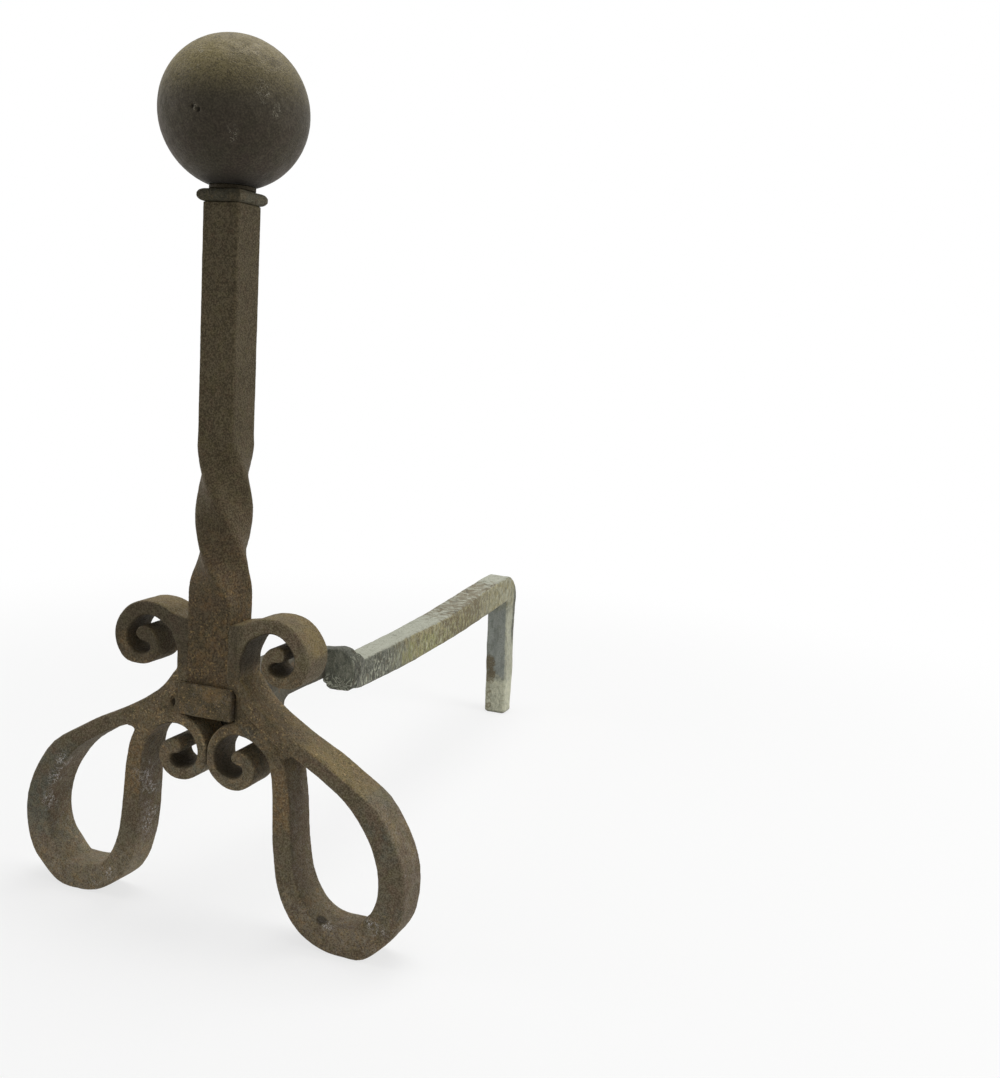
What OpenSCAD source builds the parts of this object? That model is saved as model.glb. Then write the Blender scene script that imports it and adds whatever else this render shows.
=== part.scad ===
// A hand-forged iron andiron with a ball finial, a twisted post, scrolled legs and a log bar.
// Lengths are in millimetres. The post stands on the X = 0 plane, the log bar runs back along +Y.

/* [Ball finial] */
// Diameter of the ball
ball_d = 112; // [100:1:130]
// Height of the short round neck under the ball
neck_h = 3.5; // [2:0.5:8]
// Diameter of the neck
neck_d = 35; // [26:1:39]
// Diameter of the hidden stud that holds the ball
stud_d = 12; // [8:1:18]
// Length of the stud inside the ball
stud_up = 34; // [20:1:50]
// Length of the stud inside the post
stud_down = 38; // [20:1:60]

/* [Cap] */
// Height of the half-round moulding on top of the post
cap_h = 9.5; // [7:0.5:14]
// How far the moulding stands out from the post
cap_out = 3.5; // [2:0.5:6]

/* [Post] */
// Side of the square bar
bar_w = 31.75; // [28:0.25:36]
// Height of the bar's top end above the floor
post_top = 570.5; // [500:0.5:640]
// Easing of the bar's long edges
bar_ease = 1.5; // [0.5:0.25:3]
// Height at which the twist ends, above the floor
twist_low = 265.5; // [262:0.5:280]
// Length of bar that is twisted
twist_len = 122; // [90:1:160]
// Turn of the twist, in degrees
twist_turn = 180; // [90:90:270]
// Width over the flats inside the twist
twist_w = 35; // [33:0.5:38]
// Rounding of the corners inside the twist
twist_ease = 6; // [4:0.5:8]

/* [Base block] */
// Width of the block, side to side
block_w = 40; // [36:1:46]
// Depth of the block, front to back
block_d = 32; // [28:1:36]
// Height of the block's foot above the floor
block_low = 173; // [165:1:185]
// Height of the block's straight sides
block_h = 108; // [100:1:112]
// Length over which the bar swells into the block
block_grow = 19; // [12:1:30]
// How far the block's middle lies in front of the post's axis
block_fore = 2; // [0:0.5:4]

/* [Collar] */
// Height of the collar that binds the foot of the block
collar_h = 26; // [20:1:30]
// How far the collar stands out in front
collar_front = 4.3; // [3:0.1:6]
// How far the collar stands out at the sides
collar_side = 5; // [3:0.5:6]

/* [Legs] */
// Depth of the leg bar, front to back
leg_d = 31.75; // [28:0.25:36]
// Thickness of the leg bar where it lies on the block
seat_t = 9.5; // [8:0.5:12]
// Easing of the leg bar's edges
leg_ease = 1.5; // [0.5:0.25:2]
// Height of the middle of that seat above the floor
seat_z = 215; // [212:1:220]
// Distance from the block's side to the eye of the upper scroll
eye_out = 44.5; // [41:0.5:50]
// Height of the eye of the upper scroll above the floor
eye_z = 232; // [228:1:238]
// Distance from the middle to the centre line of the outer loop
loop_out = 168; // [155:1:185]
// Distance from the middle to the centre line of the inner stem
stem_out = 70.5; // [68:0.5:76]
// Thickness of the loop where it stands on the floor
foot_t = 22.5; // [16:0.5:26]
// Thickness of the lower scroll where the two legs meet
kiss_t = 8.5; // [7:0.5:10]
// How far the lower scroll's lowest turn lies under the block's foot
scroll_drop = 51.5; // [50:0.5:56]
// How far the loop's shoulder lies under the block's foot
shoulder_drop = 35.5; // [32:0.5:38]
// How far the weld beside the collar lies behind the leg's faces
weld_back = 2.1; // [2:0.1:4]
// Distance from the outer loop's centre line in to its shoulder
shoulder_in = 47; // [45:0.5:49]
// Distance from that line in to the flat of the foot
foot_in = 33; // [31:0.5:35]
// Length of the flat on which the loop stands
foot_len = 12; // [8:0.5:14]

/* [Front arm] */
// Width of the arm behind the post
arm_w = 28; // [24:0.5:30]
// Height of the arm's top above the floor
arm_top = 199.5; // [190:0.5:205]
// Height of the arm, top to bottom
arm_h = 32; // [26:0.5:34]
// Distance from the post's axis to the arm's rear end
arm_end = 150; // [130:1:180]
// Extra depth of the heel under the arm's root
heel_h = 13.5; // [8:0.5:16]
// Distance from the post's axis to the back of the heel
heel_end = 80; // [60:1:100]
// Diameter of the arm's two tenons
tenon_d = 13; // [10:1:16]
// Length of the tenon inside the block
tenon_in = 20; // [12:1:24]

/* [Log bar] */
// Thickness of the lap at the bar's front end
lap_t = 14; // [10:1:20]
// Height of the lap's crest above the floor
lap_top = 197; // [192:0.5:200]
// Height of the lap, top to bottom
lap_h = 39.5; // [36:0.5:42]
// How far the lap reaches out beside the arm
lap_out = 29.5; // [27:0.5:34]
// Width of the bar behind the lap
log_w = 25.5; // [22:0.5:30]
// Width of the bar where it was hammered broadest
log_broad_w = 31.5; // [28:0.5:36]
// Height of the bar behind the lap
log_h = 28; // [22:0.5:30]
// Height of the bar before the rear bend
log_rear_h = 33; // [28:0.5:36]
// Sideways place of the bar's middle behind the lap
log_out = 17; // [14:0.5:20]
// Height of the bar's top behind the lap, above the floor
log_top = 177.5; // [172:0.5:182]
// Rise of the bar's top towards the rear
log_rise = 9.5; // [0:0.5:14]
// Sag of the bar near its middle
log_sag = 2; // [0:0.5:5]
// Distance from the post's axis to the back of the rear leg
rear_end = 669; // [560:1:760]
// Thickness of the rear leg at its foot, front to back
rear_t = 25; // [20:0.5:30]
// Extra thickness of the rear leg under the bend
rear_swell = 6; // [2:0.5:10]
// Radius of the rear bend, along the middle of the bar
bend_r = 27; // [22:1:40]
// Sideways lean of the rear leg from the middle
rear_shift = -2; // [-4:0.5:4]
// Easing of the bar's edges
log_ease = 2; // [1:0.25:4]

/* [Fits] */
// Gap between pieces that are welded or bound together
seat_gap = 0.1; // [0.05:0.05:0.3]
// Gap all round a stud or tenon in its hole
pin_gap = 0.15; // [0.1:0.05:0.3]

/* [Hidden] */
$fn = 96;

// Heights and planes that several pieces share
cap_low = post_top;
neck_low = cap_low + cap_h;
ball_low = neck_low + neck_h;
block_high = block_low + block_h;
block_front = -block_fore - block_d / 2;
block_back = -block_fore + block_d / 2;
collar_low = block_low;
side = block_w / 2;
mid_y = (rear_end - ball_d / 2) / 2;

// The ball is flat where it sits on the neck
ball_r = ball_d / 2;
ball_seat_r = neck_d / 2 + 0.5;
ball_z = ball_low + sqrt(ball_r * ball_r - ball_seat_r * ball_seat_r);

// Largest turn and largest distance between two sections of a forged bar
ring_turn = 6;
ring_step = 22;

/* Marks along a leg bar, from the tip of the upper scroll to the tip of the lower one.
   Each is [distance out, height, heading in degrees, thickness of the bar]. */
seat_x = side + seat_gap + seat_t / 2;
eye_x = side + eye_out;
kiss_x = seat_gap / 2 + kiss_t / 2;
upper_scroll = [
    [eye_x - 2, eye_z, -180, 12.5],
    [eye_x - 13, eye_z - 10.5, -90, 8],
    [eye_x + 1, eye_z - 21, 0, 9.5],
    [eye_x + 14, eye_z - 16, 48, 12.5],
    [eye_x + 19, eye_z - 2.5, 90, 13],
    [eye_x + 9, eye_z + 15.5, 138, 13],
    [eye_x - 9, eye_z + 21.5, 181, 11.5],
    [eye_x - 24.5, eye_z + 17, 211, 13],
    [eye_x - 34.5, eye_z + 8, 246, 12]];
seat = [
    [seat_x, seat_z + 6, 270, seat_t],
    [seat_x, seat_z - 6, 270, seat_t]];
flare = [
    [side + 9, block_low + 27, 303, 11.5],
    [side + 23, block_low + 9, 320, 14],
    [side + 47, block_low - 7, 330, 14.5],
    [side + 66.5, block_low - 16.5, 337, 13]];
loop = [
    [loop_out - shoulder_in, block_low - shoulder_drop, 328, 14],
    [loop_out - 18, 112.5, 305, 20],
    [loop_out, 64.5, 271, 23],
    [loop_out - 12.5, 26.5, 223, 25.5],
    [loop_out - foot_in, foot_t / 2, 180, foot_t],
    [loop_out - foot_in - foot_len, foot_t / 2, 180, foot_t],
    [stem_out + 18, 27, 130, 20],
    [stem_out + 4, 60.5, 100, 18.5],
    [stem_out, 102, 92, 17],
    [stem_out - 3, block_low - 39, 101, 15],
    [stem_out - 13, block_low - 17.5, 135, 12.5]];
turn_z = block_low - scroll_drop;
lower_scroll = [
    [29.5, block_low - 5.6, 180, 10.6],
    [8.5, turn_z + 33.5, 238, 9],
    [kiss_x, turn_z + 20.5, 269, kiss_t],
    [kiss_x + 3.5, turn_z + 8, 312, 9],
    [kiss_x + 20.5, turn_z, 360, 11],
    [kiss_x + 35, turn_z + 13, 450, 11.5],
    [kiss_x + 25, turn_z + 22, 545, 12]];
leg_marks = concat(upper_scroll, seat, flare, loop, lower_scroll);

/* Marks along the log bar, from the lap to the foot of the rear leg. Each is
   [distance back, height, heading in degrees, height of the bar, middle to the side, width]. */
lap_end = arm_end + seat_gap + lap_t;
lap_edge = arm_w / 2 + lap_out;
lap_low = lap_top - lap_h;
rear_mid = rear_end - rear_t / 2;
log_run = rear_mid - lap_end;
rear_top = log_top + log_rise;
dip_top = log_top - log_sag;
log_marks = [
    [lap_end - 1, lap_top - 22, -14, 32, lap_edge - 20, 36],
    [lap_end + 32, log_top - log_h / 2, -2, log_h, log_out, log_w],
    [lap_end + 0.3 * log_run, dip_top - log_h / 2 - 1, 0, log_h + 2, 0.6 * log_out, log_w + 1],
    [lap_end + 0.48 * log_run, dip_top + 2 - log_h / 2, 1, log_h, 0.6 * log_out, log_broad_w],
    [lap_end + 0.62 * log_run, dip_top + 4.5 - log_h / 2, 1, log_h + 1.5, 0.45 * log_out, log_broad_w],
    [lap_end + 0.78 * log_run, rear_top - 3.5 - log_rear_h / 2, 1, log_rear_h, 1, log_broad_w - 3],
    [rear_mid - bend_r, rear_top - log_rear_h / 2, 0, log_rear_h, rear_shift, log_broad_w - 2],
    [rear_mid - rear_swell / 2, rear_top - log_rear_h / 2 - bend_r, -88,
     rear_t + rear_swell, rear_shift - 2, log_w + 2],
    [rear_mid, 0, -90, rear_t, rear_shift, log_w + 2]];

// Length of the handles that make a bend close to a circular arc
function handle(a, b) =
    let (chord = norm([b[0] - a[0], b[1] - a[1]]), turn = abs(b[2] - a[2]))
    turn < 1 ? chord / 3 : chord * 2 / 3 * tan(turn / 4) / sin(turn / 2);

// Section of a bar at a share t of the bend from mark a to mark b: [place, direction, thickness]
function section(a, b, t) =
    let (h = handle(a, b),
         p0 = [a[0], a[1]],
         p3 = [b[0], b[1]],
         p1 = p0 + h * [cos(a[2]), sin(a[2])],
         p2 = p3 - h * [cos(b[2]), sin(b[2])],
         s = 1 - t,
         place = s * s * s * p0 + 3 * s * s * t * p1 + 3 * s * t * t * p2 + t * t * t * p3,
         run = s * s * (p1 - p0) + 2 * s * t * (p2 - p1) + t * t * (p3 - p2))
    [place, run / norm(run), a[3] + (b[3] - a[3]) * t * t * (3 - 2 * t)];

// Number of sections that a bend needs
function steps(a, b) =
    max(1, ceil(abs(b[2] - a[2]) / ring_turn), ceil(norm([b[0] - a[0], b[1] - a[1]]) / ring_step));

// All sections along a list of marks
function sections(marks) =
    concat(
        [for (i = [0:len(marks) - 2])
            let (n = steps(marks[i], marks[i + 1]))
            for (k = [0:n - 1]) section(marks[i], marks[i + 1], k / n)],
        [section(marks[len(marks) - 2], marks[len(marks) - 1], 1)]);

// Sections that round off the tip of a bar; way is -1 at its start and 1 at its end
function tip(cut, way) =
    [for (a = way > 0 ? [25, 50, 72] : [72, 50, 25])
        [cut[0] + way * cut[1] * cut[2] / 2 * sin(a), cut[1], cut[2] * cos(a)]];

// Outline of a flat bar with eased edges, as [across the bar, front to back]
function bar_outline(t, d, ease) =
    let (x = t / 2, y = d / 2, e = min(ease, 0.7 * x))
    [[x - e, -y], [x, e - y], [x, y - e], [x - e, y],
     [e - x, y], [-x, y - e], [-x, e - y], [e - x, -y]];

// Ring of points of a section in the X-Z plane
function leg_ring(cut) =
    let (across = [-cut[1][1], cut[1][0]])
    [for (p = bar_outline(cut[2], leg_d, leg_ease))
        let (q = cut[0] + p[0] * across) [q[0], p[1] - block_fore, q[1]]];

// Ring of points of the log bar at a share t of the bend from mark a to mark b
function log_ring(a, b, t) =
    let (cut = section(a, b, t),
         across = [-cut[1][1], cut[1][0]],
         shift = a[4] + (b[4] - a[4]) * t,
         width = a[5] + (b[5] - a[5]) * t)
    [for (p = bar_outline(cut[2], width, log_ease))
        let (q = cut[0] + p[0] * across) [shift - p[1], q[0], q[1]]];

// Square outline with round corners, turned about its middle
function square_ring(w, d, r, turn, y, z) =
    [for (c = [0:3], k = [0:2])
        let (a = 90 * c + 45 * k,
             sx = c == 0 || c == 3 ? 1 : -1,
             sy = c < 2 ? 1 : -1,
             px = sx * (w / 2 - r) + r * cos(a),
             py = sy * (d / 2 - r) + r * sin(a))
        [px * cos(turn) - py * sin(turn), px * sin(turn) + py * cos(turn) + y, z]];

function ease_in(t) = let (c = min(1, max(0, t))) c * c * (3 - 2 * c);

// Ring of the post at height z: square bar, twist with swollen corners, then the base block
function post_ring(z) =
    let (twist_top = twist_low + twist_len,
         swell = ease_in((twist_top + 12 - z) / 20),
         grow = ease_in((block_high + block_grow - z) / block_grow),
         w = bar_w + (twist_w - bar_w) * swell,
         turn = -twist_turn * min(1, max(0, (z - twist_low) / twist_len)))
    square_ring(w + (block_w - w) * grow, w + (block_d - w) * grow,
                bar_ease + (twist_ease - bar_ease) * swell * (1 - grow) + 0.5 * grow,
                turn, -block_fore * grow, z);

// Skin through a row of rings that all have the same number of points
module loft(rings) {
    n = len(rings[0]);
    last = len(rings) - 1;
    sides = [for (i = [0:last - 1], j = [0:n - 1])
        let (k = (j + 1) % n)
        for (f = [[i * n + j, i * n + k, i * n + n + k], [i * n + j, i * n + n + k, i * n + n + j]]) f];
    start = [for (j = [n - 1:-1:0]) j];
    end = [for (j = [0:n - 1]) last * n + j];
    polyhedron([for (ring = rings) each ring], concat(sides, [start, end]), convexity = 12);
}

// Rectangle with round corners, centred
module round_rect(w, h, r) {
    union() {
        square([w - 2 * r, h], center = true);
        square([w, h - 2 * r], center = true);
        for (x = [-1, 1], y = [-1, 1]) translate([x * (w / 2 - r), y * (h / 2 - r)]) circle(r);
    }
}

module ball_finial() {
    color("#4a4540") difference() {
        translate([0, 0, ball_z]) sphere(ball_r);
        translate([-ball_r, -ball_r, ball_low - ball_r]) cube([ball_d, ball_d, ball_r]);
        translate([0, 0, ball_low - 1]) cylinder(h = stud_up + 2, d = stud_d + 2 * pin_gap);
    }
}

module finial_neck() {
    color("#3a332c") difference() {
        translate([0, 0, neck_low]) cylinder(h = neck_h, d = neck_d);
        translate([0, 0, neck_low - 1]) cylinder(h = neck_h + 2, d = stud_d + 2 * pin_gap);
    }
}

// The stud is held by its thread; only its plain cylinder is drawn
module finial_stud() {
    color("#6a655e") translate([0, 0, post_top - stud_down])
        cylinder(h = stud_down + cap_h + neck_h + stud_up, d = stud_d);
}

// Half-round bar that runs round the four sides and meets in mitres
module cap_side() {
    rotate([90, 0, 0]) linear_extrude(bar_w + 2 * cap_out, center = true) union() {
        square([bar_w + 2 * cap_out - cap_h, cap_h], center = true);
        for (x = [-1, 1]) translate([x * (bar_w / 2 + cap_out - cap_h / 2), 0]) circle(cap_h / 2);
    }
}

module post_cap() {
    color("#574e40") difference() {
        translate([0, 0, cap_low + cap_h / 2]) intersection() {
            cap_side();
            rotate([0, 0, 90]) cap_side();
        }
        translate([0, 0, cap_low - 1]) cylinder(h = cap_h + 2, d = stud_d + 2 * pin_gap);
    }
}

module post() {
    twist_top = twist_low + twist_len;
    fine = 4;
    levels = concat([block_low], [for (z = [twist_low:fine:twist_top + 12]) z], [twist_top + 14, post_top]);
    color("#514a3c") difference() {
        loft([for (z = levels) post_ring(z)]);
        translate([0, 0, post_top - stud_down - 1]) cylinder(h = stud_down + 2, d = stud_d + 2 * pin_gap);
        translate([0, block_back - tenon_in - 1, arm_top - arm_h / 2]) rotate([-90, 0, 0])
            cylinder(h = tenon_in + 10, d = tenon_d + 2 * pin_gap);
    }
}

// Room for one leg's flare, so that the collar tucks in under it
module flare_room() {
    run = sections([seat[0], seat[1], flare[0], flare[1]]);
    under = [for (s = run) s[0] - (s[2] / 2 + 2 * seat_gap) * [-s[1][1], s[1][0]]];
    deep = block_d + collar_front + 2;
    translate([0, block_front - seat_gap + deep, 0]) rotate([90, 0, 0]) linear_extrude(deep)
        polygon(concat(under, [[side + 60, block_low + 9], [side + 60, seat_z + 6]]));
}

module base_collar() {
    w = block_w + 2 * collar_side;
    d = block_d + 2 * collar_front;
    color("#5d4a34") difference() {
        translate([0, -block_fore, collar_low]) linear_extrude(collar_h) difference() {
            round_rect(w, d, 2);
            square([block_w + 2 * seat_gap, block_d + 2 * seat_gap], center = true);
            translate([-arm_w / 2 - seat_gap, 0]) square([arm_w + 2 * seat_gap, d]);
        }
        flare_room();
        mirror([1, 0, 0]) flare_room();
    }
}

// Weld between two parts of the leg bar, set back a little behind their faces
module weld(back) {
    translate([0, leg_d / 2 - block_fore - back, 0]) rotate([90, 0, 0])
        linear_extrude(leg_d - 2 * back) children();
}

// Outline of the weld that fills the corner between the flare and the stem
module stem_corner() {
    low = [stem_out - 2.5, block_low - 29];
    difference() {
        polygon([low, [side + 41, block_low - 8], [side + 55, block_low - 14], low + [8, 0]]);
        translate([stem_out + 3.5, block_low - 25]) circle(4.5);
    }
}

// Outline of the weld that fills the corner between the flare and the arch, beside the collar
module collar_corner() {
    near = side + collar_side + seat_gap;
    polygon([[near, block_low - 2], [near, block_low + 25], [side + 23, block_low + 9],
             [side + 37, block_low - 5], [side + 26, block_low - 9], [side + 10, block_low - 4.5]]);
}

// Legs are forged from one bar each: upper scroll, flare, loop, stem, arch and lower scroll
module leg() {
    cuts = sections(leg_marks);
    rings = concat(tip(cuts[0], -1), cuts, tip(cuts[len(cuts) - 1], 1));
    color("#57492f") union() {
        loft([for (c = rings) leg_ring(c)]);
        weld(leg_ease) stem_corner();
        weld(weld_back) collar_corner();
    }
}

module right_leg() {
    leg();
}

module left_leg() {
    mirror([1, 0, 0]) leg();
}

module front_arm() {
    low = arm_top - arm_h;
    root = block_back + seat_gap;
    color("#4c473f") union() {
        intersection() {
            translate([arm_w / 2, 0, 0]) rotate([0, -90, 0]) linear_extrude(arm_w)
                polygon([[arm_top, root], [arm_top, arm_end], [low, arm_end], [low, heel_end + 6],
                         [low - 3, heel_end], [low - heel_h, heel_end - 3], [low - heel_h, root]]);
            translate([0, arm_end, arm_top - (arm_h + heel_h) / 2]) rotate([90, 0, 0])
                linear_extrude(arm_end - root) round_rect(arm_w, arm_h + heel_h, 2);
        }
        translate([0, root - tenon_in, arm_top - arm_h / 2]) rotate([-90, 0, 0])
            cylinder(h = tenon_in + 5, d = tenon_d);
        translate([0, arm_end - 5, arm_top - arm_h / 2]) rotate([-90, 0, 0])
            cylinder(h = 5 + seat_gap + lap_t, d = tenon_d);
    }
}

// The lap is the bar's front end, forged flat across the end of the arm
module lap() {
    inner = arm_w / 2;
    translate([0, lap_end, 0]) rotate([90, 0, 0]) linear_extrude(lap_t) difference() {
        polygon([[-inner, lap_low + 12], [inner - 1, lap_low + 8], [inner + 1, lap_low + 2],
                 [inner + 5, lap_low], [lap_edge - 6, lap_low + 1], [lap_edge - 2.5, lap_low + 6],
                 [lap_edge, lap_low + 15], [lap_edge, lap_top - 17], [lap_edge - 1.5, lap_top - 11],
                 [lap_edge - 5, lap_top - 5.5], [lap_edge - 10, lap_top - 1.5], [lap_edge - 17, lap_top],
                 [inner, lap_top - 2.5], [-inner, lap_top - 5]]);
        translate([0, arm_top - arm_h / 2]) circle(d = tenon_d + 2 * pin_gap);
    }
}

module log_bar() {
    last = len(log_marks) - 1;
    rings = [for (i = [1:last])
        let (a = log_marks[i - 1], b = log_marks[i], n = steps(a, b))
        for (k = [0:i == last ? n : n - 1]) log_ring(a, b, k / n)];
    color("#8f8d84") union() {
        lap();
        loft(rings);
    }
}

module placed() {
    translate([0, -mid_y, 0]) children();
}

placed() ball_finial();
placed() finial_neck();
placed() finial_stud();
placed() post_cap();
placed() post();
placed() base_collar();
placed() left_leg();
placed() right_leg();
placed() front_arm();
placed() log_bar();
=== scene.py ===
import functools
import itertools

import bmesh
import bpy
import numpy as np
from mathutils import Matrix, Vector

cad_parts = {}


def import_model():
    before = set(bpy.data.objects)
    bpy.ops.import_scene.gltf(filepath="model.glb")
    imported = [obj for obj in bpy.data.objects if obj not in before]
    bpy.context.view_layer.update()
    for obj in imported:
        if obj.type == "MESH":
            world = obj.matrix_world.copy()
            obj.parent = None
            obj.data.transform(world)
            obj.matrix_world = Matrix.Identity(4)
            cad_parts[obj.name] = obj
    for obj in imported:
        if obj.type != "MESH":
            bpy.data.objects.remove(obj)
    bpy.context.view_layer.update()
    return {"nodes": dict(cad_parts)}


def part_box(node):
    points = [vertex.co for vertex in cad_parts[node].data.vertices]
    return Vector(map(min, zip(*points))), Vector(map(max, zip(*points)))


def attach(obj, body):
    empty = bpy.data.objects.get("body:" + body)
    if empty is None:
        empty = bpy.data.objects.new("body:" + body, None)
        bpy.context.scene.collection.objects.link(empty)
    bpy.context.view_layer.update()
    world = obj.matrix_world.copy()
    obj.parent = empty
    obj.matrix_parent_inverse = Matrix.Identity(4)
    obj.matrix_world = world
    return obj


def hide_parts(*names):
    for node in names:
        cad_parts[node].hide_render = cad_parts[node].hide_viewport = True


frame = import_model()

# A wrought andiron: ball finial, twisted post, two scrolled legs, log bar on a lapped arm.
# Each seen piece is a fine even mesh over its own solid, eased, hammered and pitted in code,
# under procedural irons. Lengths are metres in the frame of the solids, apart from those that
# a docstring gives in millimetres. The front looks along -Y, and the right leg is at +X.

MM = 0.001
COARSE = 1.0

# The noise lattice is turned, so that its cells don't run along the bars, and shifted, so
# that no cell is below zero.
LATTICE_TURN = np.array(Matrix.Rotation(0.7, 3, Vector((0.4, 0.7, 0.6)).normalized()))
LATTICE_SHIFT = 1000
HASH_STEPS = np.array((374761393, 668265263, 1274126177))
HASH_SEED = 1442695041
HASH_MIX = 1103515245
LOW_32_BITS = 0xFFFFFFFF
LOW_16_BITS = 0xFFFF


# -------- numbers on points

def hashed(cells, seed):
    """A settled value from 0 to 1 for each whole-numbered cell."""
    mixed = (cells.astype(np.int64) @ HASH_STEPS + seed * HASH_SEED) & LOW_32_BITS
    mixed = ((mixed ^ (mixed >> 13)) * HASH_MIX) & LOW_32_BITS
    mixed = mixed ^ (mixed >> 16)
    return (mixed & LOW_16_BITS) / LOW_16_BITS


def grain(points, size, seed):
    """Smooth noise from -1 to 1, with lumps about size across."""
    scaled = points @ LATTICE_TURN / size + LATTICE_SHIFT
    cell = np.floor(scaled)
    part = scaled - cell
    part = part * part * (3 - 2 * part)
    total = np.zeros(len(points))
    for corner in itertools.product((0, 1), repeat=3):
        share = np.prod(np.where(corner, part, 1 - part), axis=1)
        total += share * hashed(cell + corner, seed)
    return total * 2 - 1


def step(value, low, high):
    """0 below low, 1 above high, and a smooth rise between them."""
    part = np.clip((value - low) / (high - low), 0, 1)
    return part * part * (3 - 2 * part)


def band(value, rise, fall):
    """0 outside and 1 inside a band that rises over one low and high and falls over another."""
    return step(value, *rise) * (1 - step(value, *fall))


def most(*values):
    """The greatest of some values at each point; each is an array or one number."""
    return functools.reduce(np.maximum, values)


def spot(points, place, wide, tall):
    """1 at a place, falling to 0 at wide metres across and tall metres up from it."""
    away = (points - place) / (wide, wide, tall)
    return 1 - step(np.linalg.norm(away, axis=1), 0.35, 1.0)


def spots(points, places, wide, tall):
    """1 near any of the places."""
    return most(*(spot(points, place, wide, tall) for place in places))


# -------- fine meshes

BEND_PASSES = 3
SHARP_BEND = (60, 420)


class Skin:
    """A fine even mesh over a solid, with its points and normals as arrays.
    Cell is its voxel size in millimetres, and smoothing counts the easing passes."""

    def __init__(self, node, name, cell, smoothing):
        self.node = node
        self.cell = cell * MM * COARSE
        self.piece = even_mesh(node, name, self.cell, smoothing)
        self.mesh = self.piece.data
        self.points = self.read(self.mesh.vertices, "co")
        self.edges = np.zeros(len(self.mesh.edges) * 2, np.int64)
        self.mesh.edges.foreach_get("vertices", self.edges)
        self.edges = self.edges.reshape(-1, 2)
        self.refresh()

    def read(self, items, field):
        """A three-part field of all the items, as an array."""
        values = np.zeros(len(items) * 3)
        items.foreach_get(field, values)
        return values.reshape(-1, 3)

    def refresh(self):
        """Writes the points back and takes the new normals."""
        self.mesh.vertices.foreach_set("co", self.points.ravel())
        self.mesh.update()
        self.normals = self.read(self.mesh.vertex_normals, "vector")

    def around(self, values):
        """Each point's mean of values over its neighbours."""
        first, second = self.edges.T
        count = np.bincount(self.edges.ravel(), minlength=len(values))
        total = np.bincount(first, values[second], len(values))
        total += np.bincount(second, values[first], len(values))
        return total / np.maximum(count, 1)

    def bend(self):
        """How sharply the skin turns, per metre: over 0 on outer edges, under 0 in corners."""
        middle = np.stack([self.around(self.points[:, i]) for i in range(3)], axis=1)
        inward = np.sum((self.points - middle) * self.normals, axis=1)
        turn = 4 * inward / self.cell ** 2
        for _ in range(BEND_PASSES):
            turn = self.around(turn)
        return turn

    def raise_by(self, height):
        """Moves each point along its normal by height, then flattens what would pass the
        solid's own box."""
        self.points = self.points + self.normals * height[:, None]
        self.refresh()
        low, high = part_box(self.node)
        self.points = np.clip(self.points, np.array(low), np.array(high))
        self.refresh()

    def mark(self, **marks):
        """Stores a value for each point, or one for all, for the materials to read."""
        for name, values in marks.items():
            attribute = self.mesh.attributes.new(name, "FLOAT", "POINT")
            spread = np.broadcast_to(values, len(self.points))
            attribute.data.foreach_set("value", np.clip(spread, 0, 1).astype(np.float32))

    def finish(self, material):
        """Edge wear, darker inner corners, material, and the piece's place in the frame."""
        turn = self.bend()
        self.mark(wear=step(turn, *SHARP_BEND), hollow=step(-turn, *SHARP_BEND))
        self.mesh.polygons.foreach_set("use_smooth", np.ones(len(self.mesh.polygons), bool))
        self.mesh.materials.clear()
        self.mesh.materials.append(material)
        self.mesh.update()
        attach(self.piece, "root")
        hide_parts(self.node)


def placed(name, data):
    """A new object in the scene."""
    made = bpy.data.objects.new(name, data)
    bpy.context.scene.collection.objects.link(made)
    return made


def welded_copy(node, name):
    """The node's mesh in an object of its own, with its split corners joined."""
    mesh = frame["nodes"][node].data.copy()
    work = bmesh.new()
    work.from_mesh(mesh)
    bmesh.ops.remove_doubles(work, verts=work.verts, dist=0.001 * MM)
    work.to_mesh(mesh)
    work.free()
    return placed(name, mesh)


def even_mesh(node, name, cell, smoothing):
    """A voxel mesh over the node, smoothed a little, with the modifiers applied."""
    piece = welded_copy(node, name)
    even = piece.modifiers.new("even", "REMESH")
    even.mode = "VOXEL"
    even.voxel_size = cell
    ease = piece.modifiers.new("ease", "SMOOTH")
    ease.factor = 0.5
    ease.iterations = smoothing
    seen = piece.evaluated_get(bpy.context.evaluated_depsgraph_get())
    done = bpy.data.meshes.new_from_object(seen)
    piece.modifiers.clear()
    piece.data = done
    return piece


# -------- forge marks

def hammered(points, size, depth, seed):
    """Broad and small hammer dents; size and depth in millimetres."""
    broad = grain(points, size * MM, seed)
    small = grain(points, size * 0.4 * MM, seed + 1)
    return (broad + 0.45 * small) * depth * MM


def pitted(points, size, depth, share, seed):
    """Small rust pits over a share of the skin; size and depth in millimetres."""
    lumps = grain(points, size * MM, seed)
    patches = 0.7 + 0.3 * grain(points, 9 * size * MM, seed + 1)
    return -step(lumps, 1 - 2 * share, 1) * patches * depth * MM


def sandy(points, depth, seed):
    """The fine scale that rust leaves; depth in millimetres."""
    coarse = grain(points, 3.2 * MM, seed)
    fine = grain(points, 1.7 * MM, seed + 1)
    return (coarse + fine) * 0.5 * depth * MM


SMALL_PITS = (2.4, 0.3, 0.14)


def roughen(skin, dents, pits, seed):
    """Dents of a size and depth, pits of a size, depth and share, and sand."""
    height = hammered(skin.points, *dents, seed)
    height += pitted(skin.points, *pits, seed + 2)
    height += sandy(skin.points, 0.1, seed + 4)
    skin.raise_by(height)


# -------- paint

NOISE_ROUGHNESS = 0.55
CLOUD_DETAIL = 4
PATCH_LEVEL = 0.655
PATCH_SPREAD = 0.36
# How far the painted light and painted shade marks lift or lower a colour.
PAINTED_LIGHT_SHARE = 0.6
SPECULAR_TINT = (1.0, 0.86, 0.66, 1)


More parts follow.
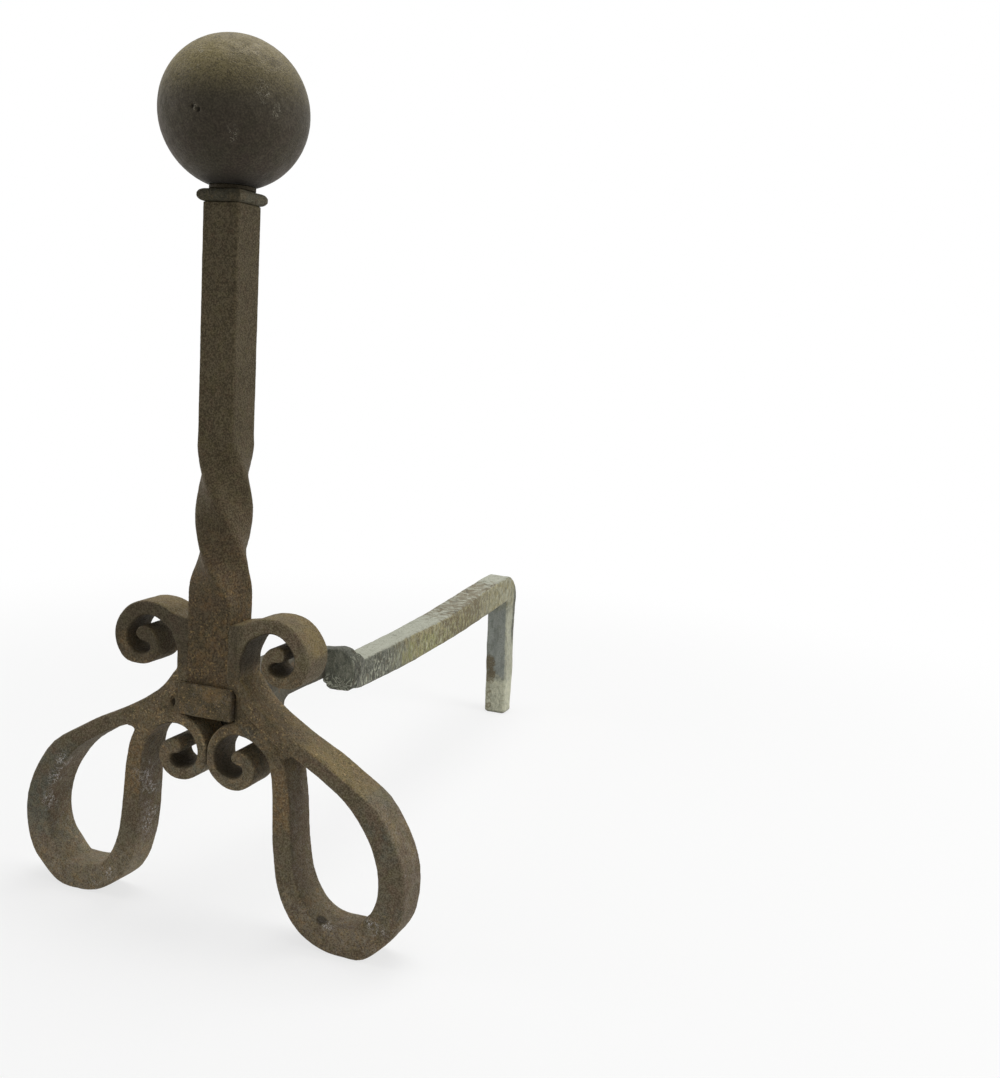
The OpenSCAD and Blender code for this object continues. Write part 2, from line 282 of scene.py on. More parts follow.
class Nodes:
    """A node tree, with short calls for its sums on outputs, numbers and colours."""

    def __init__(self, tree):
        self.tree = tree

    def node(self, kind, inputs, **settings):
        """A new node with its inputs and settings."""
        made = self.tree.nodes.new(kind)
        for key, value in settings.items():
            setattr(made, key, value)
        for socket, value in inputs.items():
            self.feed(made.inputs[socket], value)
        return made

    def feed(self, socket, value):
        """Links an output to a socket, or sets the socket to a number or colour."""
        if isinstance(value, bpy.types.NodeSocket):
            self.tree.links.new(value, socket)
            return
        socket.default_value = (*value, 1) if socket.type == "RGBA" else value

    def ramp(self, value, low, high):
        """Maps low..high to 0..1; with low above high it falls instead of rising."""
        inputs = {"Value": value, "From Min": min(low, high), "From Max": max(low, high)}
        inputs["To Min"] = 0.0 if low < high else 1.0
        inputs["To Max"] = 1.0 if low < high else 0.0
        made = self.node("ShaderNodeMapRange", inputs, interpolation_type="SMOOTHSTEP")
        return made.outputs["Result"]

    def math(self, operation, first, second):
        made = self.node("ShaderNodeMath", {0: first, 1: second}, operation=operation)
        return made.outputs[0]

    def times(self, first, second):
        return self.math("MULTIPLY", first, second)

    def plus(self, first, second):
        return self.math("ADD", first, second)

    def mix(self, share, under, over, blend_type="MIX"):
        """The colour over laid on the colour under, by share."""
        inputs = {0: share, 6: under, 7: over}
        made = self.node("ShaderNodeMix", inputs, data_type="RGBA", blend_type=blend_type)
        return made.outputs[2]

    def blend(self, share, under, over):
        """A number between under and over, by share."""
        inputs = {0: share, 2: under, 3: over}
        return self.node("ShaderNodeMix", inputs, data_type="FLOAT").outputs[0]


class Paint(Nodes):
    """A procedural material: a ground colour, others laid on it, and one shader.
    Sizes and depths are in millimetres."""

    def __init__(self, name, colours):
        self.material = bpy.data.materials.new(name)
        self.material.use_nodes = True
        super().__init__(self.material.node_tree)
        self.shader = self.tree.nodes["Principled BSDF"]
        self.place = self.node("ShaderNodeTexCoord", {}).outputs["Object"]
        self.colours = colours
        self.colour = colours["ground"]

    def lay(self, over, share, *masks):
        """Lays a colour, or one that is named, on the paint by share, where the masks are."""
        for mask in masks:
            share = self.times(mask, share)
        self.colour = self.mix(share, self.colour, self.colours.get(over, over))

    def stretched(self, stretch):
        """The place with each axis scaled, for marks that run along a bar."""
        inputs = {"Vector": self.place, "Scale": stretch}
        return self.node("ShaderNodeMapping", inputs).outputs["Vector"]

    def noise(self, size, detail, warp=0.0, place=None):
        """Noise from 0 to 1 with lumps about size across."""
        inputs = {"Vector": place or self.place, "Scale": 1 / (size * MM), "Detail": detail}
        inputs["Roughness"] = NOISE_ROUGHNESS
        inputs["Distortion"] = warp
        return self.node("ShaderNodeTexNoise", inputs).outputs["Fac"]

    def clouds(self, size, warp, low, high, place=None):
        """Detailed noise, 0 at low and 1 at high."""
        return self.ramp(self.noise(size, CLOUD_DETAIL, warp, place), low, high)

    def cracks(self, size, place):
        """The distance to the nearest line of a cracked net, 0 on the line."""
        inputs = {"Vector": place, "Scale": 1 / (size * MM)}
        made = self.node("ShaderNodeTexVoronoi", inputs, feature="DISTANCE_TO_EDGE")
        return made.outputs["Distance"]

    def warped(self, size, amount, place):
        """The place pushed about by noise, for lines that wander."""
        inputs = {"Vector": self.place, "Scale": 1 / (size * MM)}
        push = self.node("ShaderNodeTexNoise", inputs).outputs["Color"]
        inputs = {0: amount, 4: place, 5: push}
        return self.node("ShaderNodeMix", inputs, data_type="VECTOR").outputs[1]

    def mark(self, name):
        """A value that the mesh stores for each point."""
        return self.node("ShaderNodeAttribute", {}, attribute_name=name).outputs["Fac"]

    def patches(self, mark, size, warp=0.6, soft=0.11, place=None):
        """Ragged patches that spread as the stored mark rises: none at 0, all over at 1."""
        spread = self.mark(mark)
        noise = self.noise(size, CLOUD_DETAIL, warp, place)
        shifted = self.plus(noise, self.times(spread, PATCH_SPREAD))
        shown = self.ramp(shifted, PATCH_LEVEL - soft, PATCH_LEVEL + soft)
        return self.times(shown, self.ramp(spread, 0.0, 0.2))

    def cobwebs(self, width=0.075):
        """Thin wandering light lines in loose groups."""
        upright = self.warped(4, 0.02, self.stretched((1.0, 1.0, 0.45)))
        lines = self.ramp(self.cracks(5.0, upright), width, 0.25 * width)
        lines = self.times(lines, self.ramp(self.noise(12, 2), 0.42, 0.52))
        return self.times(lines, self.ramp(self.noise(3, 2), 0.38, 0.54))

    def flow_lines(self, size, count):
        """Light lines that swirl like the layers of forged iron, count of them per size."""
        turned = self.times(self.noise(size, 1, 1.2), count * 12.0)
        return self.ramp(self.math("SINE", turned, 0.0), 0.1, 0.8)

    def bumped(self, height, depth):
        """Adds a bump to the shader."""
        inputs = {"Strength": 1.0, "Distance": depth * MM, "Height": height}
        made = self.node("ShaderNodeBump", inputs)
        self.feed(self.shader.inputs["Normal"], made.outputs["Normal"])

    def done(self, roughness, metallic, gloss):
        """Gives the shader the laid colour, lighter by the painted light of the mark bright and
        darker by the painted shade of the mark dim, and its surface. Returns the material."""
        painted_light_level = self.math("SUBTRACT", self.mark("painted_light"), self.mark("painted_shade"))
        painted_light_level = self.plus(self.times(painted_light_level, PAINTED_LIGHT_SHARE), 1.0)
        painted_lit_colour = self.mix(1.0, self.colour, painted_light_level, "MULTIPLY")
        self.feed(self.shader.inputs["Base Color"], painted_lit_colour)
        self.feed(self.shader.inputs["Roughness"], roughness)
        self.shader.inputs["Metallic"].default_value = metallic
        self.shader.inputs["Specular IOR Level"].default_value = gloss
        self.shader.inputs["Specular Tint"].default_value = SPECULAR_TINT
        return self.material


def shade(colour, share):
    """The same colour, darker or lighter by share."""
    return tuple(part * share for part in colour)


def tinted(colour, red, green, blue):
    """The same colour with its parts scaled."""
    return (colour[0] * red, colour[1] * green, colour[2] * blue)


# -------- the irons

LEG_COLOURS = {
    "ground": (0.078, 0.063, 0.039),
    "middle": (0.124, 0.106, 0.069),
    "light": (0.190, 0.164, 0.108),
    "dust": (0.250, 0.222, 0.150),
    "orange": (0.215, 0.125, 0.050),
}
POST_COLOURS = {
    "ground": (0.053, 0.042, 0.024),
    "middle": (0.084, 0.069, 0.042),
    "light": (0.136, 0.112, 0.068),
    "dust": (0.180, 0.152, 0.093),
    "orange": (0.240, 0.135, 0.048),
}
RUST_SCRATCH = (0.54, 0.515, 0.50)
# The ball's crown colours are partly painted light from above, its belly partly painted shade,
# and its soot colour is painted shade under the ball.
BALL_COLOURS = {
    "ground": (0.026, 0.023, 0.015),
    "blotch": (0.036, 0.032, 0.022),
    "crown": (0.132, 0.108, 0.041),
    "belly": (0.032, 0.023, 0.019),
    "mottle": (0.062, 0.050, 0.036),
    "grain": (0.080, 0.068, 0.046),
    "crown_grain": (0.208, 0.172, 0.084),
    "dark_grain": (0.013, 0.011, 0.008),
    "scratch": (0.30, 0.275, 0.215),
    "soot_and_painted_shade": (0.008, 0.007, 0.006),
    "pit": (0.003, 0.003, 0.002),
}
SCALE_COLOURS = {
    "ground": (0.050, 0.047, 0.038),
    "blotch": (0.105, 0.098, 0.075),
    "grain": (0.19, 0.185, 0.155),
    "rust": (0.16, 0.095, 0.045),
}
BAR_COLOURS = {
    "ground": (0.150, 0.156, 0.124),
    "blotch": (0.250, 0.256, 0.204),
    "ash": (0.350, 0.357, 0.292),
    "streak": (0.235, 0.240, 0.190),
    "ochre": (0.305, 0.262, 0.118),
    "moss": (0.245, 0.250, 0.098),
    "smear": (0.115, 0.092, 0.046),
    "chalk": (0.430, 0.425, 0.310),
    "slate": (0.275, 0.293, 0.266),
    "slate_cloud": (0.150, 0.160, 0.146),
    "pale": (0.470, 0.465, 0.350),
    "soot_and_painted_shade": (0.092, 0.098, 0.081),
    "grey": (0.110, 0.112, 0.090),
    "brown": (0.112, 0.086, 0.045),
    "pepper": (0.036, 0.038, 0.030),
    "scrape": (0.46, 0.47, 0.36),
    "edge": (0.080, 0.075, 0.054),
    "flow": (0.080, 0.083, 0.066),
    "swirl": (0.44, 0.45, 0.36),
    "seam": (0.050, 0.050, 0.042),
    "grain": (0.44, 0.445, 0.36),
    "dark_grain": (0.060, 0.058, 0.046),
}


def rusty_iron(name, colours, rust_share):
    """Old forged iron: soft blotches, sandy rust, orange stains, rubbed edges, light flecks.
    Marks: rust shows orange, upper is browner, cool is greyer, plum is redder, khaki is a paler
    khaki, on the legs' lamp-facing faces partly dust and partly painted light, pale is dusty and
    in a leg's scroll gap painted light, sooty is near-black painted shade with a few real dark
    specks, scuff is scratched, flecked is grainy, wear is rubbed, hollow is darker in inner
    corners, and bright and dim are painted light and painted shade."""
    dark = colours["ground"]
    paint = Paint(name, colours)
    paint.lay("middle", paint.clouds(26, 0.5, 0.34, 0.66))
    tint_by_marks(paint, colours["middle"], colours["dust"])
    mottle(paint, dark, colours["middle"])
    rusting = paint.patches("rust", 10, 0.9, 0.16)
    paint.lay("orange", rust_share, rusting, paint.ramp(paint.noise(4, 3), 0.25, 0.70))
    rubbed = paint.ramp(paint.noise(5, 3), 0.4, 0.62)
    paint.lay("dust", 0.22, paint.mark("wear"), rubbed)
    paint.lay(shade(dark, 0.5), 0.55, paint.mark("hollow"))
    sand = paint.noise(1.2, 1)
    paint.lay("light", 0.5, paint.ramp(sand, 0.50, 0.64))
    paint.lay(shade(dark, 0.6), 0.55, paint.ramp(sand, 0.50, 0.36))
    fleck(paint, colours["dust"])
    # Near-black painted shade where the mark sooty is, with a few real dark specks.
    paint.lay(shade(dark, 0.28), 0.9, paint.mark("painted_shade_and_dark_spots"))
    paint.lay(RUST_SCRATCH, 0.9, paint.cobwebs(), paint.mark("scuff"))
    paint.bumped(paint.plus(sand, paint.noise(3.5, 3)), 0.5)
    roughness = paint.blend(paint.ramp(sand, 0.35, 0.65), 0.78, 0.6)
    return paint.done(roughness, 0.15, 0.22)


def tint_by_marks(paint, middle, dust):
    """Browner, greyer, redder, sunned and dusty places, where the marks say so."""
    paint.lay(tinted(middle, 0.92, 0.80, 0.68), 0.7, paint.mark("upper"))
    paint.lay(tinted(middle, 0.78, 0.97, 1.22), 0.85, paint.patches("cool", 24))
    paint.lay(tinted(middle, 0.98, 0.80, 0.84), 0.8, paint.patches("plum", 18))
    paint.lay(tinted(dust, 0.95, 0.78, 0.43), 0.7, paint.patches("khaki", 24, 0.4, 0.2))
    paint.lay(dust, 0.5, paint.patches("pale", 10, 0.6, 0.2))


def mottle(paint, dark, middle):
    """Small light, reddish, olive and dark clouds all over."""
    paint.lay("light", 0.3, paint.clouds(6, 0.6, 0.46, 0.70))
    paint.lay(tinted(middle, 1.02, 0.78, 0.78), 0.45, paint.clouds(7, 0.7, 0.50, 0.66))
    paint.lay(tinted(middle, 0.98, 1.02, 0.74), 0.45, paint.clouds(9, 0.7, 0.50, 0.66))
    paint.lay(shade(dark, 0.75), 0.3, paint.clouds(8, 0.4, 0.52, 0.30))


def fleck(paint, dust):
    """Bright flecks in loose groups, where the mark flecked says so."""
    flecks = paint.ramp(paint.noise(1.9, 1), 0.59, 0.67)
    groups = paint.ramp(paint.noise(7, 3), 0.36, 0.60)
    paint.lay(tinted(dust, 1.65, 1.34, 0.95), 0.85, flecks, groups, paint.mark("flecked"))


def ball_iron():
    """The ball: a sandy khaki crown that is partly painted light from above, a darker plum belly
    that is partly painted shade, light scratches, two black pits. Marks: crown, belly, scuff,
    sooty for painted shade under the ball, pit, and bright and dim for painted light and shade."""
    paint = Paint("ball_iron", BALL_COLOURS)
    paint.lay("blotch", paint.clouds(36, 0.0, 0.34, 0.66))
    sunned = paint.ramp(paint.noise(26, 3), 0.1, 0.55)
    paint.lay("crown", 0.9, paint.mark("crown"), sunned)
    paint.lay("belly", 0.75, paint.mark("belly"), paint.clouds(20, 0.0, 0.36, 0.60))
    paint.lay("mottle", 0.25, paint.clouds(7, 0.5, 0.46, 0.70))
    sand = paint.noise(1.3, 2)
    grains = paint.ramp(sand, 0.50, 0.64)
    paint.lay("grain", 0.38, grains)
    paint.lay("crown_grain", 0.5, grains, paint.mark("crown"))
    paint.lay("dark_grain", 0.6, paint.ramp(sand, 0.49, 0.37))
    paint.lay("scratch", 0.9, paint.cobwebs(0.05), paint.mark("scuff"))
    # Painted shade: near-black under the ball, over the neck.
    paint.lay("soot_and_painted_shade", 0.85, paint.mark("painted_shade_and_dark_spots"))
    paint.lay("pit", paint.mark("pit"))
    paint.bumped(paint.plus(sand, paint.noise(4, 3)), 0.3)
    roughness = paint.blend(paint.ramp(paint.noise(6, 3), 0.35, 0.65), 0.56, 0.7)
    paint.shader.inputs["Sheen Weight"].default_value = 0.07
    paint.shader.inputs["Sheen Roughness"].default_value = 0.4
    return paint.done(roughness, 0.2, 0.36)


def scaled_iron():
    """Dark fire scale on the arm and the stud. Marks: bright and dim, painted light and shade.
    """
    paint = Paint("scaled_iron", SCALE_COLOURS)
    blotch = paint.clouds(20, 0.5, 0.35, 0.65)
    paint.lay("blotch", blotch)
    sand = paint.noise(1.6, 3)
    paint.lay("grain", 0.5, paint.ramp(sand, 0.52, 0.72))
    paint.lay("rust", 0.5, paint.clouds(8, 0.6, 0.56, 0.68))
    paint.bumped(paint.plus(sand, paint.noise(5, 3)), 0.4)
    roughness = paint.blend(blotch, 0.55, 0.72)
    return paint.done(roughness, 0.3, 0.25)


def ashed_iron():
    """The log bar: grey-green ash on top, streaky brown and ochre sides, soot, pale scrapes.
    Marks: ash, ochre, moss, slate, pale, soot, brown, pepper, scrape, edge, flow, seam, and
    bright and dim for painted light and painted shade."""
    paint = Paint("ashed_iron", BAR_COLOURS)
    tall = paint.stretched((1.0, 1.0, 0.42))
    paint.lay("blotch", paint.clouds(15, 0.6, 0.36, 0.64, tall))
    ash_and_ochre(paint, tall)
    slate = paint.patches("slate", 16, 0.3, 0.2)
    paint.lay("slate", 0.95, slate)
    paint.lay("slate_cloud", 0.55, paint.clouds(9, 0.5, 0.48, 0.66, tall), slate)
    paint.lay("pale", 0.85, paint.patches("pale", 8, 0.6, 0.2))
    paint.lay("soot_and_painted_shade", 0.85, paint.patches("soot_and_painted_shade", 9, 0.5, 0.2))
    grey = paint.clouds(4, 0.8, 0.52, 0.66, tall)
    paint.lay("grey", 0.3, grey)
    paint.lay("brown", 0.85, paint.patches("brown", 8, 1.0, 0.13))
    scrape_and_flow(paint, tall)
    sand = paint.noise(1.3, 2)
    paint.lay("grain", 0.2, paint.ramp(sand, 0.52, 0.68))
    paint.lay("dark_grain", 0.3, paint.ramp(sand, 0.48, 0.34))
    paint.bumped(paint.plus(sand, paint.noise(4, 4)), 0.35)
    roughness = paint.blend(grey, 0.62, 0.78)
    return paint.done(roughness, 0.12, 0.22)


def ash_and_ochre(paint, tall):
    """Streaky ash, and ochre and mossy stains with dark smears and chalk on them."""
    ash = paint.patches("ash", 12, 0.4)
    paint.lay("ash", 0.9, ash)
    lengthwise = paint.stretched((1.6, 0.35, 0.6))
    paint.lay("streak", 0.3, paint.clouds(5, 0.3, 0.50, 0.66, lengthwise), ash)
    paint.lay("ochre", 0.8, paint.patches("ochre", 11, 0.9, 0.17, tall))
    paint.lay("moss", 0.75, paint.patches("moss", 8, 0.9, 0.15, tall))
    smears = paint.clouds(7, 0.9, 0.50, 0.64, paint.stretched((1.0, 1.0, 0.55)))
    paint.lay("smear", 0.8, smears, paint.mark("ochre"))
    chalk = paint.clouds(5, 0.7, 0.55, 0.66, tall)
    paint.lay("chalk", 0.7, chalk, paint.mark("ochre"))


def scrape_and_flow(paint, tall):
    """Dark pepper, light scrapes, dark edges, the lap's flow lines and the flakes' seams."""
    pepper = paint.ramp(paint.noise(2.8, 3, 0.6, tall), 0.54, 0.43)
    paint.lay("pepper", 0.8, pepper, paint.mark("pepper"))
    scrapes = paint.ramp(paint.noise(3.0, 3, 0.9, tall), 0.53, 0.61)
    paint.lay("scrape", 0.9, scrapes, paint.mark("scrape"))
    paint.lay("edge", 0.65, paint.mark("edge"))
    paint.lay("flow", 0.5, paint.mark("flow"))
    paint.lay("swirl", 0.85, paint.flow_lines(12, 4), paint.mark("flow"))
    paint.lay("seam", 0.85, paint.mark("seam"))


# -------- ball, neck and cap

# Directions from the ball's middle, with the sizes of what is there in millimetres.
BALL_PITS = ((0.027, -0.994, -0.107), (0.110, -0.983, -0.148))
BALL_PIT_SIZES = (1.3, 1.7)
BALL_PIT_DEPTH = 2.4
BALL_SCRATCHES = ((-0.042, -0.847, 0.529), (0.800, -0.580, 0.152), (0.907, -0.417, -0.060),
                  (0.479, -0.776, -0.409), (0.070, -0.991, -0.113))
BALL_SCRATCH_SIZES = (13.0, 8.0, 5.0, 6.5, 3.0)
# Directions of the ball's painted light and shade: the lamp side and the low front are painted
# darker, the rim round the front-facing direction and the upper left lighter.
HOT_SIDE = (0.78, -0.10, 0.62)
FACE = (0.30, -0.95, 0.05)
LOW_FRONT = (0.46, -0.80, -0.38)
LEFT_TOP = (-0.72, -0.45, 0.50)


def ball(material):
    """The ball: slight lumps, a sandy skin and two small casting pits."""
    skin = Skin("ball_finial", "ball", cell=1.0, smoothing=4)
    low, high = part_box("ball_finial")
    radius = (high.x - low.x) / 2
    middle = np.array(((low.x + high.x) / 2, (low.y + high.y) / 2, high.z - radius))
    outward = (skin.points - middle) / radius
    height = hammered(skin.points, 30, 0.12, 11)
    height += pitted(skin.points, 2.6, 0.22, 0.10, 12)
    height += sandy(skin.points, 0.07, 14)
    pit = ball_spots(skin.points, middle, radius, BALL_PITS, BALL_PIT_SIZES, 1.35)
    skin.raise_by(height - pit * BALL_PIT_DEPTH * MM)
    scuff = ball_spots(skin.points, middle, radius, BALL_SCRATCHES, BALL_SCRATCH_SIZES, 1.5)
    skin.mark(scuff=scuff, pit=step(pit, 0.10, 0.40))
    ball_painted_light_and_shade(skin, outward)
    skin.finish(material)


def ball_spots(points, middle, radius, directions, sizes, tall):
    """1 at some places on the ball, tall times as high as they are wide."""
    shown = 0.0
    for towards, size in zip(directions, sizes):
        place = middle + radius * np.array(towards)
        shown = np.maximum(shown, spot(points, place, size * MM, tall * size * MM))
    return shown


def ball_painted_light_and_shade(skin, outward):
    """The crown and the belly, partly painted light and shade, the painted shade over the neck,
    a painted reflection round the rim, painted light at the upper left, and painted shade on the
    lamp side and low in front.
    """
    up = outward[:, 2]
    skin.mark(crown=step(up, -0.05, 0.64), belly=step(-up, -0.35, 0.6))
    # Painted shade on the lamp side and low in front.
    hot_side = 0.54 * step(outward @ HOT_SIDE, 0.52, 0.95)
    low_front = 0.20 * step(outward @ LOW_FRONT, 0.84, 0.98)
    skin.mark(painted_shade=most(hot_side, low_front))
    # A painted reflection that lightens the rim, and painted light on the upper left.
    rim = 0.24 * (1 - step(outward @ FACE, 0.30, 0.75))
    left_top = 0.45 * step(outward @ LEFT_TOP, 0.2, 0.8)
    skin.mark(painted_light=most(rim, left_top))
    # Painted shade under the ball, round the neck.
    from_axis = np.hypot(outward[:, 0], outward[:, 1])
    skin.mark(painted_shade_and_dark_spots=(1 - step(from_axis, 0.34, 0.72)) * step(-up, 0.3, 0.6))


def neck(material):
    """The neck, painted dark all over as the ball's shadow."""
    skin = Skin("finial_neck", "neck", cell=0.7, smoothing=2)
    roughen(skin, (13, 0.1), SMALL_PITS, 71)
    # Painted shadow over the whole neck.
    skin.mark(painted_shade_and_dark_spots=1.0)
    skin.finish(material)


def cap(material):
    """The cap: greener, with painted shade on the faces that look forward and down."""
    skin = Skin("post_cap", "cap", cell=0.7, smoothing=2)
    roughen(skin, (13, 0.15), SMALL_PITS, 81)
    # Painted shade on the faces that look forward and down.
    front = step(-skin.normals[:, 1] - 0.5 * skin.normals[:, 2], 0.2, 0.8)
    skin.mark(cool=0.7, painted_shade_and_dark_spots=0.42 * front)
    skin.finish(material)


# -------- collar and post

COLLAR_RUST = (0.008, -0.327, 0.192)
COLLAR_SHADED_END = (0.0236, 0.0246)
BLOCK_TOP = (0.254, 0.262)
BLOCK_EDGE = (0.0165, 0.0175)
EDGE_DEPTH = 0.0016


def collar(material):
    """The collar: rust-eaten, with one vivid rust spot in front and painted shade on its right
    end.
    """
    skin = Skin("base_collar", "collar", cell=0.8, smoothing=4)
    roughen(skin, (13, 0.35), SMALL_PITS, 91)
    rusty = spot(skin.points, COLLAR_RUST, 0.013, 0.009)
    # Painted shade: the front's right end is darkened and reddened to look like the shaded side
    # face.
    end = step(skin.points[:, 0], *COLLAR_SHADED_END)
    skin.mark(rust=most(0.25, rusty), pale=0.35 + 0.2 * rusty, khaki=0.5 * rusty)
    skin.mark(upper=0.6, flecked=1.0, scuff=0.12, painted_shade_and_dark_spots=0.5 * end, plum=end)
    skin.finish(material)


def square_off(skin, front, near):
    """Fills the eased front edge where near is 1, so that a welded seam stays shallow."""
    deep = skin.points[:, 1] - front
    eased = (1 - step(deep, EDGE_DEPTH, 1.7 * EDGE_DEPTH)) * near
    skin.points[:, 1] -= np.maximum(deep, 0) * 0.8 * eased
    skin.refresh()


def post(material):
    """The post: drawn flats above, the wrung part, and a rougher base block."""
    skin = Skin("post", "post_skin", cell=1.0, smoothing=1)
    low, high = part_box("post")
    block = 1 - step(skin.points[:, 2], *BLOCK_TOP)
    square_off(skin, low.y, block * step(np.abs(skin.points[:, 0]), *BLOCK_EDGE))
    points = skin.points
    share = (points[:, 2] - low.z) / (high.z - low.z)
    rough = 1 - step(share, 0.3, 0.75)
    height = hammered(points, 16, 0.16, 21) * (0.6 + 0.9 * rough)
    height += pitted(points, 2.5, 0.34, 0.13, 23) * (0.6 + 0.7 * rough)
    height += sandy(points, 0.11, 25)
    skin.raise_by(height)
    post_marks(skin, share)
    skin.finish(material)


def post_marks(skin, share):
    """Rustier and redder towards the foot; above, painted light on the front and painted shade
    at the right.
    """
    column = step(share, 0.40, 0.50)
    right = step(skin.normals[:, 0], 0.5, 0.9)
    front = step(-skin.normals[:, 1], 0.5, 0.9)
    skin.mark(rust=0.05 + 0.25 * (1 - step(share, 0.0, 0.5)))
    skin.mark(upper=0.35 + 0.5 * (1 - step(share, 0.1, 0.6)))
    # Painted shade on the column's right faces and painted light on its front faces.
    skin.mark(painted_shade=0.22 * right * column)
    skin.mark(painted_light=0.25 * front * column * (1 - step(share, 0.75, 0.9)))
    skin.mark(plum=0.45 * (1 - step(share, 0.3, 0.6)))
    skin.mark(flecked=0.75 * (1 - step(share, 0.15, 0.45)))


# -------- legs

# The scrolls' eyes, out from the middle and up, and how far round them their faces reach.
UPPER_EYE = (0.0645, 0.229)
UPPER_REACH = 0.036
LOWER_EYE = (0.0255, 0.1385)
LOWER_REACH = 0.026

# The weld between leg and block.
BLOCK_HALF = 0.020
WELD_OVERLAP = 0.0016
WELD_FILLET = (0.009, 0.014)
BESIDE_BLOCK = ((0.196, 0.200), (0.252, 0.258))
WELD_STRIP = ((0.0009, 0.0015), (0.0027, 0.0033))
WELD_UP = ((0.162, 0.166), (0.200, 0.204))
WELD_RISE = 0.0014
WELD_ROUGHNESS = 0.0005
WELD_HOLE = (-0.0325, -0.3235, 0.1800)
HOLE_DEPTH = 0.003

# Places on a leg, out from the middle and up: one soft edge, or the two of a band.
HUB_OUT = (0.06, 0.10)
HUB_UP = ((0.125, 0.155), (0.195, 0.23))
STEM_OUT = ((0.050, 0.060), (0.078, 0.088))
STEM_UP = (0.06, 0.10)
STAIN_UP = ((0.085, 0.105), (0.135, 0.150))
LOWER_SCROLL_OUT = (0.045, 0.055)
LOWER_SCROLL_UP = (0.165, 0.175)
UPPER_SCROLL_UP = (0.205, 0.215)
SCROLL_GAP_OUT = (0.010, 0.016)
SCROLL_GAP_UP = ((0.144, 0.150), (0.168, 0.174))
COLLAR_UP = ((0.172, 0.177), (0.190, 0.196))
FOOT_UP = (0.015, 0.075)
ABOVE_FOOT = (0.045, 0.09)
LOOP_OUT = (0.095, 0.115)
LOOP_LEVEL = ((0.03, 0.06), (0.11, 0.14))
FAR_OUT = (0.125, 0.150)
CREST_OUT = 0.112
LEFT_CURL = (-0.076, -0.318, 0.224)
LOOP_SPECK = (0.1085, -0.3200, 0.0250)
LOOP_STRAWS = ((0.116, -0.322, 0.0228), (0.153, -0.3235, 0.034), (0.160, -0.3235, 0.028))
LOOP_SCRATCHES = ((-0.141, -0.321, 0.108), (-0.149, -0.321, 0.090), (-0.155, -0.320, 0.072),
                  (-0.139, -0.318, 0.086))
STEM_SCRATCHES = ((-0.062, -0.311, 0.096), (-0.062, -0.316, 0.115), (-0.065, -0.308, 0.070))
LOW_SCRATCHES = ((-0.093, -0.324, 0.022), (-0.103, -0.323, 0.008))


class LegPlaces:
    """How far each point of a leg belongs to the places that the marks are about, 0 to 1."""

    def __init__(self, points, normals, out, left):
        up = points[:, 2]
        inward = -np.sign(points[:, 0]) * normals[:, 0]
        self.points = points
        self.normals = normals
        self.out = out
        self.up = up
        self.left = left
        self.front = step(-normals[:, 1], 0.6, 0.9)
        self.right = step(normals[:, 0], 0.5, 0.85)
        # Faces that look up and to the right, towards the lamps.
        self.sunned = step(0.5 * normals[:, 0] + 0.85 * normals[:, 2], 0.45, 0.9)
        self.foot = 1 - step(up, *FOOT_UP)
        self.level = band(up, *LOOP_LEVEL)
        self.far = step(out, *FAR_OUT)
        self.crest = 1 - step(np.abs(out - CREST_OUT), 0.010, 0.045)
        self.hub = (1 - step(out, *HUB_OUT)) * band(up, *HUB_UP)
        self.stem = band(out, *STEM_OUT) * step(up, *STEM_UP)
        self.stain = self.stem * self.front * band(up, *STAIN_UP)
        self.lower = (1 - step(out, *LOWER_SCROLL_OUT)) * (1 - step(up, *LOWER_SCROLL_UP))
        self.upper = self.front * step(up, *UPPER_SCROLL_UP)
        self.curl = spot(points, LEFT_CURL, 0.014, 0.016)
        # The inward faces in the gap between the scrolls, which sit in shade and get painted
        # light.
        self.gap = (1 - step(out, *SCROLL_GAP_OUT)) * step(inward, 0.2, 0.5)
        self.gap = self.gap * band(up, *SCROLL_GAP_UP)

    def inside_scroll(self, eye, reach):
        """1 on the faces of a scroll that look in at its eye."""
        across = eye[0] - self.out
        up = eye[1] - self.up
        away = np.hypot(across, up)
        side = np.sign(self.points[:, 0])
        facing = self.normals[:, 0] * side * across + self.normals[:, 2] * up
        inside = step(facing / np.maximum(away, 1e-6), 0.25, 0.7)
        return inside * (1 - step(away, reach, reach + 0.004))


def leg(node, material, seed):
    """A scrolled leg: hammer dents that grow round the loop's foot, pits, rubbed edges."""
    skin = Skin(node, node + "_skin", cell=1.0, smoothing=1)
    low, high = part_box(node)
    left = high.x < MM
    close_on_block(skin, low.y)
    weld = fill_weld(skin, low.y, seed + 9)
    points = skin.points
    normals = skin.normals
    out = np.abs(points[:, 0])
    height = hammered(points, 17, 0.2, seed)
    height += hammered(points, 26, 0.5, seed + 2) * (1 - step(points[:, 2], 0.02, 0.075))
    height += pitted(points, 2.5, 0.34, 0.12, seed + 4)
    height += sandy(points, 0.1, seed + 6)
    hole = spot(points, WELD_HOLE, 0.0026, 0.0055)
    skin.raise_by(height - hole * HOLE_DEPTH)
    at = LegPlaces(skin.points, normals, out, left)
    leg_rust(skin, at)
    leg_tints(skin, at)
    # Painted shade in the weld's hole and on the weld strip.
    leg_painted_shade_and_speck(skin, at, most(hole, 0.35 * weld))
    leg_painted_light_and_shade(skin, at)
    leg_scratches(skin, at)
    skin.finish(material)


